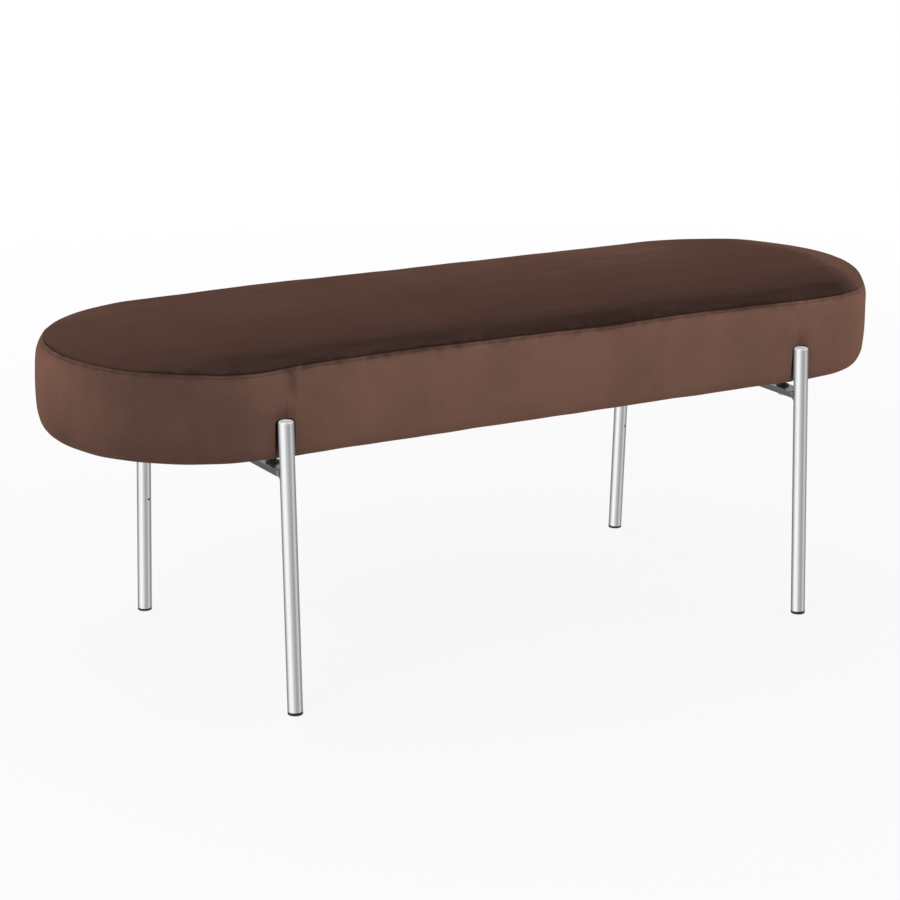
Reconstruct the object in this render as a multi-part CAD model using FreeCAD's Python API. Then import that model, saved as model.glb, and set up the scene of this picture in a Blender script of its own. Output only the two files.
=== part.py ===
import FreeCAD
import Part
import math
import os

V = FreeCAD.Vector

# An oval upholstered bench on four slim splayed legs.
# Millimetres; X runs along the bench, Y to its back, Z up.
# The origin is on the floor under the middle of the seat.

# Seat, measured over the cover
seat_length = 1210.0
seat_width = 418.0
seat_height = 450.0
seat_thickness = 129.0

# Section of the seat: set-backs run in from the fullest side, drops down from the crown
crown_shoulder_setback = 77.0
crown_shoulder_drop = 1.0
roll_setback = 26.0
roll_drop = 5.2
seam_setback = 9.2
seam_drop = 14.5
side_top_drop = 40.0
side_foot_height = 16.0
side_bulge = 2.2

# Cover of velvet with its sewn seams
velvet_thickness = 1.2
seam_groove_width = 2.0
seam_groove_depth = 0.6
band_seam_offset = 3.0
cover_return_setback = 48.0

# Filling and board
wadding_thickness = 4.0
board_thickness = 18.0
board_setback = 24.0
board_edge_chamfer = 2.0
dust_cover_thickness = 0.6
dust_cover_setback = 28.0

# Legs of round tube, placed by their axes; they lean out to the front and back only
leg_diameter = 19.2
leg_wall = 1.5
leg_from_straight_end = 9.0
leg_top_outside_seat = 0.5
leg_foot_outside_top = 16.8
leg_rise = 50.0
vent_height = 162.0
vent_diameter = 3.2
vent_turn_degrees = 18.0

# Closed leg tops
cap_lip = 5.0
cap_edge_round = 3.2
cap_plug_depth = 12.0

# Foot glides pushed into the tubes
glide_lip = 4.0
glide_edge_round = 1.2
glide_plug_depth = 14.0
glide_rib_count = 3
glide_rib_height = 0.4
plug_fit = 0.05

# Hollow that each leg presses into the side of the seat
hollow_clearance = 0.3
hollow_shoulder_round = 10.0
hollow_shoulder_inset = 9.2
hollow_end_below_cap = 2.0

# Cross bars, welded between the front and back leg of each pair
bar_width = 25.0
bar_thickness = 8.0
bar_end_notch = 1.4
bar_corner_round = 0.8
weld_throat = 5.0
weld_sag_share = 0.17
weld_wrap_degrees = 15.0
weld_half_angle_degrees = 55.0

# Fastening of the seat to the bars
spacer_height = 10.4
spacer_neck_diameter = 9.0
spacer_flange_diameter = 17.0
spacer_flange_thickness = 2.2
bolt_diameter = 6.0
bolt_clearance = 0.3
bolt_from_board_edge = 12.6
bolt_end_below_board_top = 4.0
bolt_head_diameter = 10.5
bolt_head_height = 3.4
bolt_head_round = 1.6
bolt_socket_width = 4.0
bolt_socket_depth = 2.0
washer_diameter = 14.0
washer_thickness = 1.2
nut_barrel_diameter = 8.4
nut_barrel_length = 11.0
nut_flange_diameter = 19.0
nut_flange_thickness = 1.5
nut_thread_fit = 0.03
nut_prong_length = 6.0
nut_prong_width = 2.4
nut_prong_thickness = 1.2

# One overrun for every cutting tool
overrun = 5.0

# Places that follow from the sizes
half_width = seat_width / 2
end_centre_x = seat_length / 2 - half_width
underside_z = seat_height - seat_thickness
seam_z = seat_height - seam_drop
board_bottom_z = underside_z + velvet_thickness
board_top_z = board_bottom_z + board_thickness
dust_cover_z = underside_z - dust_cover_thickness
leg_radius = leg_diameter / 2
leg_x = end_centre_x - leg_from_straight_end
leg_top_z = underside_z + leg_rise
leg_top_y = half_width + leg_top_outside_seat
leg_foot_y = leg_top_y + leg_foot_outside_top
leg_length = math.hypot(leg_top_z, leg_foot_outside_top)
splay_degrees = math.degrees(math.atan2(leg_foot_outside_top, leg_top_z))
bar_top_z = dust_cover_z - spacer_height
bar_bottom_z = bar_top_z - bar_thickness
band_seam_x = leg_x - band_seam_offset


def leg_y_at(height):
    """Distance of a leg's axis from the middle plane at a height above the floor."""
    return leg_foot_y - leg_foot_outside_top * height / leg_top_z


bar_leg_y = leg_y_at((bar_top_z + bar_bottom_z) / 2)
bar_half_length = bar_leg_y - leg_radius + bar_end_notch
bolt_y = half_width - board_setback - bolt_from_board_edge


# Drawing helpers

def arc_from(start, heading, end):
    """Arc in the YZ plane that leaves start along a heading angle, with its final heading."""
    chord = math.atan2(end[1] - start[1], end[0] - start[0])
    turn = 2 * (chord - heading)
    length = math.hypot(end[0] - start[0], end[1] - start[1])
    sagitta = length / 2 * math.tan(turn / 4)
    middle = ((start[0] + end[0]) / 2 + sagitta * math.sin(chord),
              (start[1] + end[1]) / 2 - sagitta * math.cos(chord))
    edge = Part.Arc(V(0, *start), V(0, *middle), V(0, *end)).toShape()
    return edge, heading + turn


def polar(radius, angle):
    return V(math.cos(angle), math.sin(angle), 0) * radius


def line(start, end):
    return Part.LineSegment(V(0, *start), V(0, *end)).toShape()


def face_of(edges):
    return Part.Face(Part.Wire(Part.__sortEdges__(edges)))


def cylinder(radius, bottom, top, x=0.0, y=0.0):
    return Part.makeCylinder(radius, top - bottom, V(x, y, bottom), V(0, 0, 1))


def box(x0, x1, y0, y1, z0, z1):
    return Part.makeBox(x1 - x0, y1 - y0, z1 - z0, V(x0, y0, z0))


def write(name, shape):
    solids = shape.Solids
    result = solids[0] if len(solids) == 1 else Part.makeCompound(solids)
    result.exportStep("parts/" + name + ".step")
    print(name, len(solids), "solid(s)", round(result.Volume))


# Section of the seat

def half_outline():
    """Right half of the seat's section, from the crown round to the middle of the underside."""
    crown = (0.0, seat_height)
    shoulder = (half_width - crown_shoulder_setback, seat_height - crown_shoulder_drop)
    roll = (half_width - roll_setback, seat_height - roll_drop)
    seam = (half_width - seam_setback, seam_z)
    side_top = (half_width - side_bulge, seat_height - side_top_drop)
    side_foot = (half_width - side_bulge, underside_z + side_foot_height)
    over_top, heading = arc_from(crown, 0.0, shoulder)
    over_shoulder, heading = arc_from(shoulder, heading, roll)
    over_roll, heading = arc_from(roll, heading, seam)
    lean = 2 * math.atan2(2 * side_bulge, side_top[1] - side_foot[1])
    below_seam, _ = arc_from(side_top, math.pi / 2 + lean, seam)
    side, heading = arc_from(side_top, lean - math.pi / 2, side_foot)
    edge_radius = side_foot_height / (1 - math.sin(lean))
    underside_edge = (side_foot[0] - edge_radius * math.cos(lean), underside_z)
    under_edge, _ = arc_from(side_foot, heading, underside_edge)
    flat = line(underside_edge, (0.0, underside_z))
    return [over_top, over_shoulder, over_roll, below_seam, side, under_edge, flat]


def seat_section(inset):
    """Whole section of the seat, drawn in from the cover's outside by an inset."""
    right = half_outline()
    left = [edge.mirror(V(0, 0, 0), V(0, 1, 0)) for edge in right]
    wire = Part.Wire(Part.__sortEdges__(right + left))
    if inset > 0:
        wire = wire.makeOffset2D(-inset, 2)
    return Part.Face(wire)


def oval(section):
    """Runs a section along the straight middle and turns it round both ends."""
    solid = section.translated(V(-end_centre_x, 0, 0)).extrude(V(2 * end_centre_x, 0, 0))
    front_half = Part.makePlane(seat_height + overrun, half_width, V(0, 0, 0), V(1, 0, 0), V(0, 0, 1))
    profile = section.common(front_half)
    for side, half_turn in ((1, 0), (-1, 180)):
        centre = V(side * end_centre_x, 0, 0)
        start = profile.rotated(V(0, 0, 0), V(0, 0, 1), half_turn).translated(centre)
        solid = solid.fuse(start.revolve(centre, V(0, 0, 1), 180))
    return solid.removeSplitter()


def oval_plate(setback, bottom, top):
    """Flat oval plate, set back from the fullest side of the seat."""
    radius = half_width - setback
    plate = box(-end_centre_x, end_centre_x, -radius, radius, bottom, top)
    for side in (-1, 1):
        plate = plate.fuse(cylinder(radius, bottom, top, side * end_centre_x))
    return plate.removeSplitter()


# Placing the legs: each is drawn upright on the origin, with its inner side towards +Y

def stand(shape, side, row):
    """Leans an upright leg piece and moves it to its corner: side -1 left, row -1 front."""
    leaned = shape.rotated(V(0, 0, 0), V(1, 0, 0), -splay_degrees)
    placed = leaned.translated(V(side * leg_x, -leg_foot_y, 0))
    return placed if row < 0 else placed.mirror(V(0, 0, 0), V(0, 1, 0))


CORNERS = [(side, row) for side in (-1, 1) for row in (-1, 1)]


def corner_name(side, row):
    return ("front" if row < 0 else "back") + ("_left" if side < 0 else "_right")


# Hollow that a leg presses into the seat

def hollow(inset):
    """Tool for one hollow: a trough with rounded shoulders and a rounded upper end."""
    trough = leg_radius + hollow_clearance + inset
    shoulder = hollow_shoulder_round - inset
    centre_x = math.sqrt((trough + shoulder) ** 2 - hollow_shoulder_inset ** 2)
    centre = V(centre_x, hollow_shoulder_inset, 0)
    meet_angle = math.atan2(centre.y, centre.x)
    meet = polar(trough, meet_angle)
    trough_middle = polar(trough, (meet_angle + math.pi / 2) / 2)
    shoulder_middle = centre + polar(shoulder, (meet_angle - math.pi - math.pi / 2) / 2)
    rim = centre - V(0, shoulder, 0)
    outer_rim = V(rim.x, -leg_diameter, 0)
    outer_axis = V(0, -leg_diameter, 0)
    half = face_of([
        Part.Arc(V(0, trough, 0), trough_middle, meet).toShape(),
        Part.Arc(meet, shoulder_middle, rim).toShape(),
        Part.LineSegment(rim, outer_rim).toShape(),
        Part.LineSegment(outer_rim, outer_axis).toShape(),
        Part.LineSegment(outer_axis, V(0, trough, 0)).toShape(),
    ])
    top = leg_length - hollow_end_below_cap
    raised = half.translated(V(0, 0, top))
    run = raised.extrude(V(0, 0, bar_bottom_z - top))
    end = raised.revolve(V(0, 0, top), V(0, 1, 0), -180)
    return run.fuse([run.mirror(V(0, 0, 0), V(1, 0, 0)), end]).removeSplitter()


def hollowed(solid, inset):
    """Takes the four leg hollows out of a layer of the seat."""
    tool = hollow(inset)
    return solid.cut([stand(tool, side, row) for side, row in CORNERS])


# Legs

def leg_tube():
    bore = leg_radius - leg_wall
    bottom, top = glide_lip, leg_length - cap_lip
    tube = cylinder(leg_radius, bottom, top).cut(cylinder(bore, bottom - overrun, top + overrun))
    turn = math.radians(vent_turn_degrees)
    direction = V(math.sin(turn), math.cos(turn), 0)
    vent = Part.makeCylinder(vent_diameter / 2, leg_diameter, V(0, 0, vent_height), direction)
    return tube.cut(vent)


def leg_cap():
    lip = cylinder(leg_radius, leg_length - cap_lip, leg_length)
    rim = [edge for edge in lip.Edges if edge.BoundBox.ZMin > leg_length - cap_lip / 2]
    lip = lip.makeFillet(cap_edge_round, rim)
    plug_top = leg_length - cap_lip
    plug = cylinder(leg_radius - leg_wall - plug_fit, plug_top - cap_plug_depth, plug_top)
    return lip.fuse(plug).removeSplitter()


def foot_glide(side, row):
    """Ribbed plug with a lip under the tube's end, cut level with the floor."""
    bore = leg_radius - leg_wall
    rib_pitch = glide_plug_depth / (glide_rib_count + 1)
    lip = cylinder(leg_radius, -overrun, glide_lip)
    plug = cylinder(bore - glide_rib_height - plug_fit, glide_lip, glide_lip + glide_plug_depth)
    glide = lip.fuse(plug)
    for number in range(glide_rib_count):
        height = glide_lip + (number + 1) * rib_pitch
        outer, inner = bore - plug_fit, bore - plug_fit - glide_rib_height
        glide = glide.fuse(Part.makeCone(outer, inner, rib_pitch / 2, V(0, 0, height)))
    glide = stand(glide.removeSplitter(), side, row)
    reach = leg_diameter
    y = row * leg_foot_y
    floor_side = box(side * leg_x - reach, side * leg_x + reach, y - reach, y + reach, -leg_diameter, 0)
    glide = glide.cut(floor_side)
    sole = [edge for edge in glide.Edges if edge.BoundBox.ZMax < glide_lip / 2]
    return glide.makeFillet(glide_edge_round, [max(sole, key=lambda edge: edge.Length)])


# Cross bars and their welds

def at_bolts(shape):
    """Copies of a piece drawn on the Z axis, one at each bolt."""
    return [shape.translated(V(side * leg_x, row * bolt_y, 0)) for side, row in CORNERS]


def bolt_holes(radius, bottom, top):
    return at_bolts(cylinder(radius, bottom, top))


def solid_leg(side, row):
    return stand(cylinder(leg_radius, 0, leg_length), side, row)


def cross_bar(side):
    half = bar_width / 2
    x = side * leg_x
    bar = box(x - half, x + half, -bar_half_length, bar_half_length, bar_bottom_z, bar_top_z)
    long_edges = [edge for edge in bar.Edges if edge.BoundBox.YLength > bar_half_length]
    bar = bar.makeFillet(bar_corner_round, long_edges)
    bar = bar.cut([solid_leg(side, row) for row in (-1, 1)])
    hole = bolt_diameter / 2 + bolt_clearance
    return bar.cut(bolt_holes(hole, bar_bottom_z - overrun, bar_top_z + overrun))


def weld_bead(side, row, bar):
    """Fillet of weld under a bar's end and up both sides of it, against the leg."""
    end_y = bar_leg_y - bar_half_length
    corner = V(bar_width / 2 - bar_corner_round, end_y, 0)
    toe = polar(leg_radius, math.radians(weld_wrap_degrees))
    root = V(math.sqrt(leg_radius ** 2 - end_y ** 2), end_y, 0)
    chord_middle = (corner + toe) * 0.5
    sag = (corner - toe).Length * weld_sag_share
    hollow_middle = chord_middle + (root - chord_middle).normalize() * sag
    behind = V(corner.x, end_y + bar_end_notch, 0)
    face = face_of([
        Part.Arc(corner, hollow_middle, toe).toShape(),
        Part.LineSegment(toe, V(0, 0, 0)).toShape(),
        Part.LineSegment(V(0, 0, 0), V(0, behind.y, 0)).toShape(),
        Part.LineSegment(V(0, behind.y, 0), behind).toShape(),
        Part.LineSegment(behind, corner).toShape(),
    ])
    flank = face.translated(V(0, 0, bar_bottom_z)).extrude(V(0, 0, bar_thickness - bar_corner_round))
    bead = flank.fuse(flank.mirror(V(0, 0, 0), V(1, 0, 0)))
    outer = V(leg_radius + weld_throat, 0, bar_bottom_z)
    lower = V(leg_radius, 0, bar_bottom_z - weld_throat)
    sag = (outer - lower).Length * weld_sag_share
    dip = (outer + lower) * 0.5 + V(-1, 0, 1).normalize() * sag
    under = face_of([
        Part.Arc(outer, dip, lower).toShape(),
        Part.LineSegment(lower, V(0, 0, lower.z)).toShape(),
        Part.LineSegment(V(0, 0, lower.z), V(0, 0, outer.z)).toShape(),
        Part.LineSegment(V(0, 0, outer.z), outer).toShape(),
    ])
    start = under.rotated(V(0, 0, 0), V(0, 0, 1), 90 - weld_half_angle_degrees)
    bead = bead.fuse(start.revolve(V(0, 0, 0), V(0, 0, 1), 2 * weld_half_angle_degrees))
    bead = bead.translated(V(side * leg_x, -bar_leg_y, 0))
    if row > 0:
        bead = bead.mirror(V(0, 0, 0), V(0, 1, 0))
    return bead.cut([bar, solid_leg(side, row)])


# Fastening of the seat

def seat_spacer():
    neck = cylinder(spacer_neck_diameter / 2, bar_top_z, dust_cover_z)
    flange = cylinder(spacer_flange_diameter / 2, bar_top_z, bar_top_z + spacer_flange_thickness)
    return neck.fuse(flange).cut(cylinder(bolt_diameter / 2 + bolt_clearance, bar_top_z, dust_cover_z))


def bolt_washer():
    bottom = bar_bottom_z - washer_thickness
    hole = cylinder(bolt_diameter / 2 + bolt_clearance, bottom, bar_bottom_z)
    return cylinder(washer_diameter / 2, bottom, bar_bottom_z).cut(hole)


def seat_bolt():
    head_top = bar_bottom_z - washer_thickness
    head_bottom = head_top - bolt_head_height
    head = cylinder(bolt_head_diameter / 2, head_bottom, head_top)
    rim = [edge for edge in head.Edges if edge.BoundBox.ZMax < head_bottom + bolt_head_height / 2]
    head = head.makeFillet(bolt_head_round, rim)
    corner_radius = bolt_socket_width / 2 / math.cos(math.pi / 6)
    points = [polar(corner_radius, corner * math.pi / 3) + V(0, 0, head_bottom) for corner in range(7)]
    socket = Part.Face(Part.makePolygon(points)).extrude(V(0, 0, bolt_socket_depth))
    shank = cylinder(bolt_diameter / 2, head_top, board_top_z - bolt_end_below_board_top)
    return head.cut(socket).fuse(shank).removeSplitter()


def t_nut():
    """Flanged nut with four prongs, set flush in the top of the board."""
    flange_bottom = board_top_z - nut_flange_thickness
    nut = cylinder(nut_flange_diameter / 2, flange_bottom, board_top_z)
    nut = nut.fuse(cylinder(nut_barrel_diameter / 2, board_top_z - nut_barrel_length, board_top_z))
    outer = nut_flange_diameter / 2 - nut_prong_thickness
    side = nut_prong_width / 2
    tip = flange_bottom - nut_prong_length
    prong = box(outer - nut_prong_thickness, outer, -side, side, tip, flange_bottom)
    nut = nut.fuse([prong.rotated(V(0, 0, 0), V(0, 0, 1), turn) for turn in (0, 90, 180, 270)])
    bore = bolt_diameter / 2 + nut_thread_fit
    return nut.cut(cylinder(bore, board_top_z - nut_barrel_length, board_top_z)).removeSplitter()


# Layers of the seat

def solid_board():
    board = oval_plate(board_setback, board_bottom_z, board_top_z)
    rims = [edge for edge in board.Edges if edge.BoundBox.ZLength < board_thickness / 2]
    return board.makeChamfer(board_edge_chamfer, rims)


def seat_board(nuts):
    """The board with its bolt holes and the seats of the nuts."""
    holes = bolt_holes(nut_barrel_diameter / 2, board_bottom_z - overrun, board_top_z)
    return solid_board().cut(holes + nuts)


def seam_groove():
    """Small notch in the section where the top panel meets the band."""
    seam = V(0, half_width - seam_setback, seam_z)
    slope = math.atan2(side_top_drop - seam_drop, seam_setback - side_bulge)
    along = V(0, -math.cos(slope), math.sin(slope)) * (seam_groove_width / 2)
    out = V(0, math.sin(slope), math.cos(slope))
    deep = out * seam_groove_depth
    return Part.Face(Part.makePolygon([seam + along, seam + deep, seam - along, seam - deep, seam + along]))


def cover():
    """The whole velvet cover in one, before it is parted at its seams."""
    groove = seam_groove()
    section = seat_section(0.0).cut([groove, groove.mirror(V(0, 0, 0), V(0, 1, 0))]).Faces[0]
    skin = hollowed(oval(section), 0.0).cut(hollowed(oval(seat_section(velvet_thickness)), velvet_thickness))
    opening = oval_plate(cover_return_setback, underside_z - overrun, board_bottom_z + overrun)
    hole = bolt_diameter / 2 + bolt_clearance
    return skin.cut([opening] + bolt_holes(hole, underside_z - overrun, board_bottom_z + overrun))


def wadding_and_foam():
    """The wadding wraps the foam down to the board's edge; the foam sits over the board."""
    board = solid_board()
    inset = velvet_thickness + wadding_thickness
    core = hollowed(oval(seat_section(inset)), inset)
    wadding = hollowed(oval(seat_section(velvet_thickness)), velvet_thickness).cut([core, board])
    return wadding, core.cut(board)


def dust_cover():
    sheet = oval_plate(dust_cover_setback, dust_cover_z, underside_z)
    return sheet.cut(bolt_holes(bolt_diameter / 2 + bolt_clearance, dust_cover_z, underside_z))


# The bench

os.makedirs("parts", exist_ok=True)

for side, row in CORNERS:
    corner = corner_name(side, row)
    write("leg_tube_" + corner, stand(leg_tube(), side, row))
    write("leg_cap_" + corner, stand(leg_cap(), side, row))
    write("foot_glide_" + corner, foot_glide(side, row))

for side, name in ((-1, "left"), (1, "right")):
    bar = cross_bar(side)
    write("cross_bar_" + name, bar)
    write("weld_beads_" + name, Part.makeCompound([weld_bead(side, row, bar) for row in (-1, 1)]))

write("seat_spacers", Part.makeCompound(at_bolts(seat_spacer())))
write("bolt_washers", Part.makeCompound(at_bolts(bolt_washer())))
write("seat_bolts", Part.makeCompound(at_bolts(seat_bolt())))
nuts = at_bolts(t_nut())
write("t_nuts", Part.makeCompound(nuts))

write("seat_board", seat_board(nuts))
wadding, foam = wadding_and_foam()
write("foam_block", foam)
write("wadding_layer", wadding)
write("dust_cover", dust_cover())

skin = cover()
far_x = seat_length / 2 + overrun
far_y = half_width + overrun
write("top_panel", skin.common(box(-far_x, far_x, -far_y, far_y, seam_z, seat_height + overrun)))
bottom = underside_z - overrun
write("band_front", skin.common(box(-band_seam_x, band_seam_x, -far_y, 0, bottom, seam_z)))
write("band_back", skin.common(box(-band_seam_x, band_seam_x, 0, far_y, bottom, seam_z)))
write("band_left_end", skin.common(box(-far_x, -band_seam_x, -far_y, far_y, bottom, seam_z)))
write("band_right_end", skin.common(box(band_seam_x, far_x, -far_y, far_y, bottom, seam_z)))
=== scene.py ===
import math

import bpy
import numpy as np
from mathutils import Matrix, Vector


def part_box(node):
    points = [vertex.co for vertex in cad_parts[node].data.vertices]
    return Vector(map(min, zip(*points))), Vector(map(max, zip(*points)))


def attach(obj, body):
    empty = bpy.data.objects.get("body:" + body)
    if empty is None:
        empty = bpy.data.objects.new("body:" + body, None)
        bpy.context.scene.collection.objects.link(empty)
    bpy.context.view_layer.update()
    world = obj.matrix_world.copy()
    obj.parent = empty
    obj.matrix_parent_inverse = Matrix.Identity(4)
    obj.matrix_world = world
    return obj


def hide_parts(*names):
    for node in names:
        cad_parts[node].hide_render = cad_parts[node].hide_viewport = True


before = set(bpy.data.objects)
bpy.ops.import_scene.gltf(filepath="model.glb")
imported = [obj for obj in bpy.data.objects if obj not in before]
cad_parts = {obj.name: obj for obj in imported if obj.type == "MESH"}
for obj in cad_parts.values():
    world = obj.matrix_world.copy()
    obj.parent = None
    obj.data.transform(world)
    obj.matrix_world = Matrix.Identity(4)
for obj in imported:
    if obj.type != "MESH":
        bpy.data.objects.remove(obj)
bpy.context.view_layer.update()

# An oval velvet bench on four slim chrome legs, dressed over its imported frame.
# Metres; X runs along the bench, Y to its back, Z up.

MM = 0.001
BODY = "root"
WHITE = (1, 1, 1, 1)

# Sizes read from the frame
top_low, top_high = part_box("top_panel")
front_low, front_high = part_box("band_front")
board_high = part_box("seat_board")[1]
dust_low, dust_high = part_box("dust_cover")
tube_low, tube_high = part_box("leg_tube_front_right")
seat_top = top_high.z
seam_z = top_low.z
underside = front_low.z
half_width = -front_low.y
end_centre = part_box("band_right_end")[1].x - half_width
band_seam = front_high.x
leg_x = (tube_low.x + tube_high.x) / 2
leg_radius = (tube_high.x - tube_low.x) / 2
leg_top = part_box("leg_cap_front_right")[1].z
seat_loop = 4 * end_centre + 2 * math.pi * half_width

# Section of the seat: set-backs run in from the fullest side, drops down from the crown
crown_setback, crown_drop = 77 * MM, 1.0 * MM
roll_setback, roll_drop = 26 * MM, 4.5 * MM
seam_setback = 9.2 * MM
side_top_drop = 40 * MM
side_foot_height = 16 * MM
side_bulge = 2.2 * MM
return_setback = 48 * MM
core_setback = 109 * MM
section_step = 0.1 * MM
crown_heading = -1e-6

# Spacing of the cover's mesh: coarse, and fine at the seams and the legs
column_step, column_fine, column_reach = 4.6 * MM, 0.9 * MM, 22 * MM
row_step, row_fine, row_reach = 3.0 * MM, 0.6 * MM, 6 * MM
leg_row_fine, leg_row_reach = 0.9 * MM, 8 * MM
spacing_samples = 4001

# Cloth over the filling
velvet_thickness = 1.2 * MM
filling_inset = 5.2 * MM
filling_board_gap = 0.4 * MM
filling_column_step, filling_column_fine = 12 * MM, 3.5 * MM
filling_row_step, filling_row_fine = 6 * MM, 2.5 * MM
side_blend = 40 * MM
waist_depth = 1.5 * MM
seam_step, seam_step_reach = 0.5 * MM, 28 * MM

# Hollows that the legs press into the seat
hollow_side_gap, hollow_foot, hollow_foot_share = 3.5 * MM, 26 * MM, 0.3
hollow_top_gap = 1.2 * MM
hollow_back_gap = 2.0 * MM
hollow_corner = 7.0 * MM
hollow_lip_round = 0.9 * MM
hollow_wall_slope = 14.0
hollow_reach = 70 * MM
dimple_depth, dimple_reach = 1.6 * MM, 11 * MM
dimple_side_share = 0.2
dimple_rise = 20 * MM

# Seams, puckers and swells
seam_depth, seam_reach = 1.5 * MM, 1.2 * MM
topstitch_drop = 4.2 * MM
topstitch_depth, topstitch_reach = 0.6 * MM, 0.8 * MM
side_seam_depth, side_seam_reach, side_seam_start = 0.28 * MM, 1.8 * MM, 3 * MM
side_seam_right_share = 0.25
pucker_height, pucker_reach = 0.32 * MM, 8 * MM
pucker_lengths = (7 * MM, 10 * MM, 15 * MM, 23 * MM, 37 * MM)
gather_reach, gather_drop, gather_drop_reach = 30 * MM, 12 * MM, 22 * MM
swell_lengths = (61 * MM, 97 * MM, 143 * MM, 230 * MM)
top_swell, band_swell = 0.35 * MM, 0.45 * MM
swell_slant, gather_slant = 0.7, 0.4

# Stitches: a pitch, a size, how far they stray along the row, and the mesh of each
stitch_pitch, stitch_length, stitch_width = 3.2 * MM, 2.3 * MM, 0.5 * MM
stitch_stray_share = 0.1
stitch_rings, stitch_sides = 5, 6
stitch_end = 0.46 * math.pi

# Where the top seam lies above or below its line, by bumps at one end (-1 left, 1 right):
# degrees round the end from the front, height and reach; and by places along the front
SEAM_BUMPS = [(-1, 122, 2.6 * MM, 100 * MM), (-1, 46, -1.9 * MM, 75 * MM), (-1, 11, -5.0 * MM, 62 * MM),
              (1, 52, -7.0 * MM, 190 * MM), (1, 55, -2.6 * MM, 80 * MM)]
FRONT_BUMPS = [(-200 * MM, 1.5 * MM, 60 * MM), (70 * MM, -2.0 * MM, 80 * MM)]
seam_wander, seam_slide_reach = 0.5 * MM, 30 * MM

# Unevenness of the stuffing; the swells of the top are places, a height and a reach
left_end_fullness, left_end_height = 3.0 * MM, 30 * MM
left_top_fullness, right_top_fullness = 1.6 * MM, 1.8 * MM
top_fullness_drop, top_fullness_reach = 12 * MM, 26 * MM
foot_fullness, foot_reach = 1.3 * MM, 12 * MM
middle_foot_fullness, left_foot_fullness, right_foot_fullness = 1.5 * MM, 0.8 * MM, 2.5 * MM
TOP_SWELLS = [(-220 * MM, 165 * MM, 2.0 * MM, 110 * MM), (500 * MM, 120 * MM, 1.6 * MM, 60 * MM),
              (-60 * MM, 165 * MM, 1.0 * MM, 360 * MM)]

# Cloth simulation of the cover; a hold runs from 0, free, to 1, fixed
cloth_step = 9 * MM
cloth_frames, cloth_pressure = 20, 4.0
cloth_tight_share = 0.001
cloth_inset, cloth_inset_reach = 0.4 * MM, 26 * MM
cloth_cap = 1.6 * MM
cloth_lap = 3
foam_hold, foam_uneven_share = 0.24, 0.6
foam_lengths = (70 * MM, 110 * MM, 170 * MM, 290 * MM)
leg_hold_reach, leg_hold_rise = 24 * MM, 10 * MM

# Staples and dust cover underneath
staple_setback, staple_pitch = 36 * MM, 38 * MM
staple_length, staple_wire = 10 * MM, 0.9 * MM
staple_stray_share, staple_turn = 0.12, 0.18
dust_step = 12 * MM
dust_sag, dust_slack_share = 1.2 * MM, 0.4
dust_lengths = (110 * MM, 170 * MM, 290 * MM)
dust_hem, hem_near, hem_fold, hem_rise = 9 * MM, 2 * MM, 1.2 * MM, 1 * MM
spacer_radius, bolt_clear = 8.5 * MM, 20 * MM
bolt_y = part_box("seat_spacers")[1].y - spacer_radius

# Camera and background
camera_place = (-1.79652, -3.00529, 1.21595)
camera_yaw, camera_pitch, camera_roll = 0.5300744, 0.2746862, 0.0055394
camera_focal_px, photo_px = 2693.77, 900
sensor_width, view_depth = 36.0, 100.0
floor_size, floor_grey = 40.0, 0.86
floor_glow_share = 0.85
floor_near, floor_far = 1.0, 3.0
room_level = 0.60

# Soft square lamps: name, place and watts
lamp_size = 2.4
LAMPS = [("left_lamp", (-3.4, -2.2, 2.0), 54), ("right_lamp", (3.2, -2.4, 1.8), 34),
         ("front_lamp", (0.5, -4.2, 1.2), 16), ("back_lamp", (-0.6, 3.0, 2.4), 30)]

# Grey gauze round the room, for the metal to mirror: how thick it hangs, by degrees to the
# right of the camera and by share of its height, and its profile as radius and height
GAUZE_SHARES = [(-180, 0.80), (-140, 0.88), (-112, 0.70), (-90, 0.40), (-74, 0.10), (-60, 0.0), (-30, 0.0),
                (-14, 0.28), (2, 0.50), (28, 0.66), (44, 0.72), (58, 0.60), (74, 0.42), (90, 0.42),
                (106, 0.72), (140, 0.80), (180, 0.80)]
GAUZE_HIGH_SHARES = [(0.04, 1.0), (0.18, 0.46), (0.60, 0.60)]
GAUZE_PROFILE = [(8.0, -6.0), (8.0, 6.0), (5.0, 9.0), (0.05, 11.0)]
gauze_sides, gauze_level = 96, 0.08


def smooth(x):
    """Runs from 0 to 1 with level ends while x does."""
    x = np.clip(x, 0, 1)
    return x * x * (3 - 2 * x)


def bell(x):
    return np.exp(-x * x)


def waves(places, lengths, seed):
    """Ripple from about -1 to 1 round the seat, of whole waves of about the given lengths."""
    rng = np.random.default_rng(seed)
    total = np.zeros_like(places)
    for length in lengths:
        whole = seat_loop / round(seat_loop / length)
        total += np.sin(2 * math.pi * (places / whole + rng.random()))
    return total / len(lengths)


def blotches(x, y, lengths, seed):
    """Ripple from about -1 to 1 over a plane, of waves that run every way."""
    rng = np.random.default_rng(seed)
    total = np.zeros_like(x)
    for length in lengths:
        turn = rng.random() * math.pi
        along = x * math.cos(turn) + y * math.sin(turn)
        total += np.sin(2 * math.pi * (along / length + rng.random()))
    return total / len(lengths)


def distances(line):
    """How far along a line of points each of them is."""
    return np.concatenate(([0], np.cumsum(np.linalg.norm(np.diff(line, axis=0), axis=1))))


def closed(line):
    return np.vstack([line, line[:1]])


def read_loop(at, places, rows):
    """Rows at other places of a closed line, from its rows at given places."""
    return np.stack([np.interp(at, places, column, period=places[-1]) for column in rows.T], axis=-1)


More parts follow.
